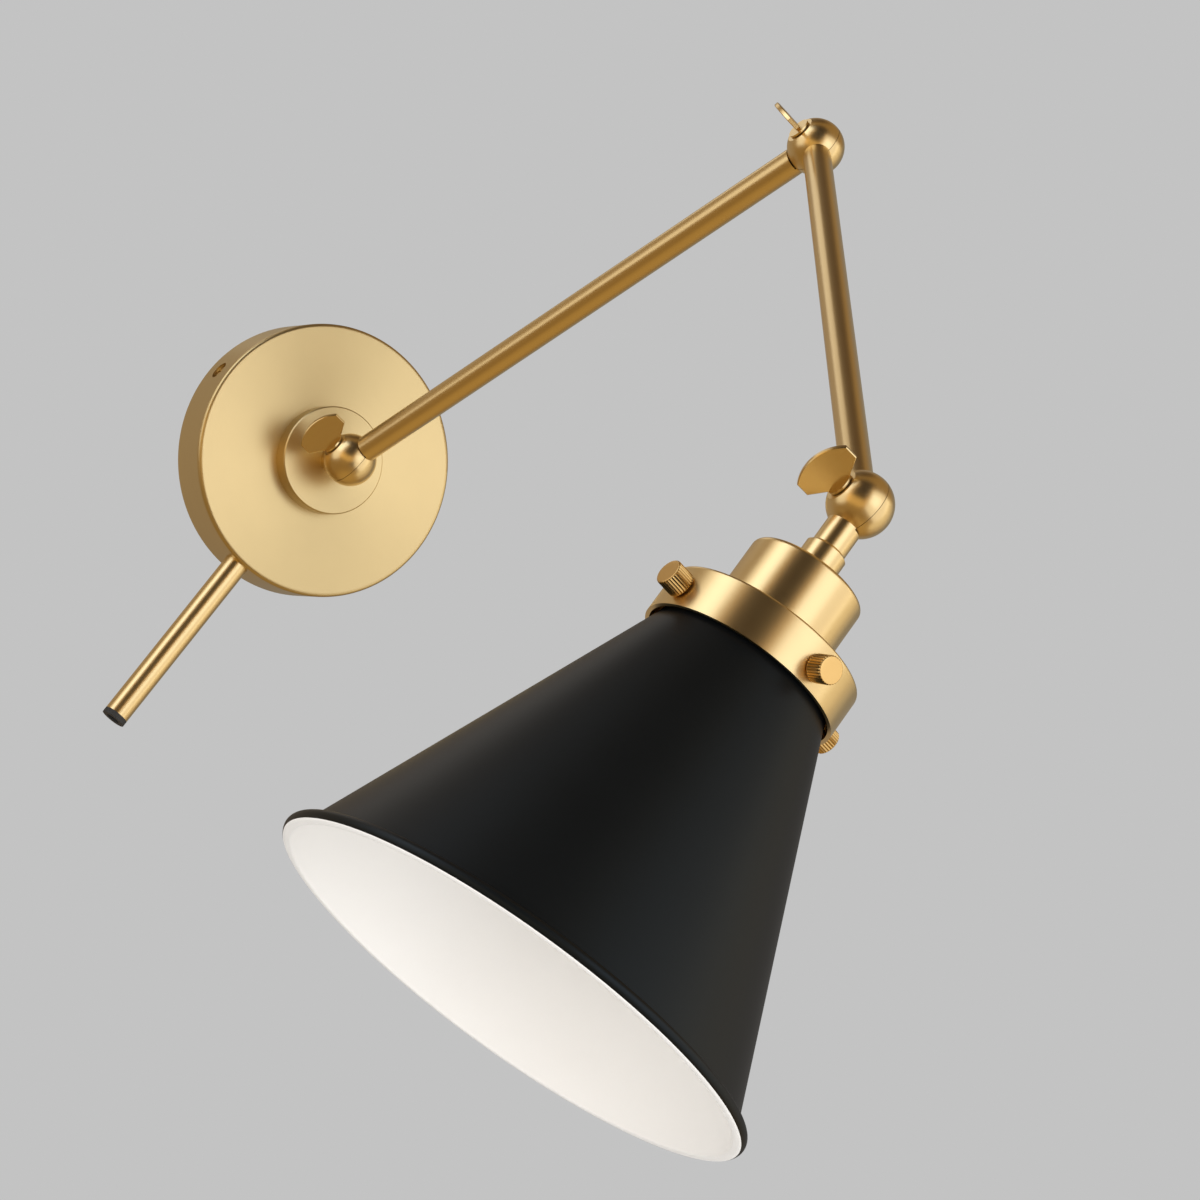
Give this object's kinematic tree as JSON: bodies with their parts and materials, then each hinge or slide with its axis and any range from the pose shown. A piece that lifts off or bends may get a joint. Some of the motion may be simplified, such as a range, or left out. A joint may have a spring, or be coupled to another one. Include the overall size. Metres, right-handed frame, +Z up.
{
  "type": "wall sconce",
  "caption": "Jointed swing-arm wall sconce: round brass wall plate with cord cover, split-ball knuckles with thumb keys, tube arms and a black cone shade held on its collar by thumbscrews.",
  "frame": {"origin": "centre of the wall plate's open back face, in the plane of the wall", "axes": "+X to the right of someone who faces the wall, +Y into the wall, +Z up"},
  "size_m": [0.1854, 0.6173, 0.4264],
  "materials": {
    "satin_brass": "satin",
    "zinc_steel": "satin",
    "green_screw": "gloss",
    "black_rubber": "matte",
    "friction_fibre": "matte",
    "white_porcelain": "gloss",
    "white_plastic": "satin",
    "shell_brass": "gloss",
    "black_paint": "matte"
  },
  "bodies": {
    "wall_base": {"wall_plate": "satin_brass", "mounting_bracket": "zinc_steel", "ground_screw": "green_screw", "plate_side_screws": "satin_brass", "cord_cover": "satin_brass", "cord_cover_grub": "satin_brass", "cord_bush": "black_rubber"},
    "swivel": {"boss_disc": "satin_brass", "wall_neck": "satin_brass", "swivel_washer": "zinc_steel", "swivel_nut": "zinc_steel"},
    "lower_arm": {"lower_arm_wall_half": "satin_brass", "lower_arm_tube": "satin_brass", "lower_arm_elbow_half": "satin_brass", "wall_friction_disc": "friction_fibre", "elbow_friction_disc": "friction_fibre"},
    "upper_arm": {"upper_arm_elbow_half": "satin_brass", "upper_arm_tube": "satin_brass", "upper_arm_head_half": "satin_brass", "head_friction_disc": "friction_fibre"},
    "lamp_head": {"head_stem": "satin_brass", "stem_ferrule": "satin_brass", "socket_cup": "satin_brass", "socket_nut": "zinc_steel", "lampholder_body": "white_porcelain", "screw_shell": "shell_brass", "centre_contact": "shell_brass", "shade_collar": "satin_brass", "collar_ring_nut": "white_plastic", "shade": "black_paint"},
    "wall_clamp_key": {"wall_key": "satin_brass"},
    "elbow_clamp_key": {"elbow_key": "satin_brass"},
    "head_clamp_key": {"head_key": "satin_brass"},
    "shade_screw_right": {"thumbscrew_right": "satin_brass"},
    "shade_screw_front": {"thumbscrew_front": "satin_brass"},
    "shade_screw_left": {"thumbscrew_left": "satin_brass"},
    "shade_screw_rear": {"thumbscrew_rear": "satin_brass"}
  },
  "joints": [
    {"name": "wall_swivel", "type": "hinge", "parent": "wall_base", "child": "swivel", "pos_m": [0, -0.03, 0], "axis": [0, 1, 0], "range_deg": [-90, 90]},
    {"name": "wall_knuckle", "type": "hinge", "parent": "swivel", "child": "lower_arm", "pos_m": [0, -0.0523, 0], "axis": [1, 0, 0], "range_deg": [-52.6, 127.4]},
    {"name": "elbow_knuckle", "type": "hinge", "parent": "lower_arm", "child": "upper_arm", "pos_m": [0, -0.27632, 0.17128], "axis": [1, 0, 0], "range_deg": [-106.7, 35.3]},
    {"name": "head_knuckle", "type": "hinge", "parent": "upper_arm", "child": "lamp_head", "pos_m": [0, -0.51908, -0.02741], "axis": [1, 0, 0], "range_deg": [-160, 65]},
    {"name": "wall_key_turn", "type": "hinge", "parent": "lower_arm", "child": "wall_clamp_key", "pos_m": [0, -0.0523, 0], "axis": [1, 0, 0], "range_deg": [-90, 90]},
    {"name": "elbow_key_turn", "type": "hinge", "parent": "lower_arm", "child": "elbow_clamp_key", "pos_m": [0, -0.27632, 0.17128], "axis": [1, 0, 0], "range_deg": [-90, 90]},
    {"name": "head_key_turn", "type": "hinge", "parent": "upper_arm", "child": "head_clamp_key", "pos_m": [0, -0.51908, -0.02741], "axis": [1, 0, 0], "range_deg": [-90, 90]},
    {"name": "shade_screw_right_turn", "type": "hinge", "parent": "lamp_head", "child": "shade_screw_right", "pos_m": [0, -0.5209, -0.09699], "axis": [0.9942, 0.108, -0.0028], "range_deg": [-90, 90]},
    {"name": "shade_screw_front_turn", "type": "hinge", "parent": "lamp_head", "child": "shade_screw_front", "pos_m": [0, -0.5209, -0.09699], "axis": [0.108, -0.9938, 0.026], "range_deg": [-90, 90]},
    {"name": "shade_screw_left_turn", "type": "hinge", "parent": "lamp_head", "child": "shade_screw_left", "pos_m": [0, -0.5209, -0.09699], "axis": [-0.9942, -0.108, 0.0028], "range_deg": [-90, 90]},
    {"name": "shade_screw_rear_turn", "type": "hinge", "parent": "lamp_head", "child": "shade_screw_rear", "pos_m": [0, -0.5209, -0.09699], "axis": [-0.108, 0.9938, -0.026], "range_deg": [-90, 90]}
  ]
}
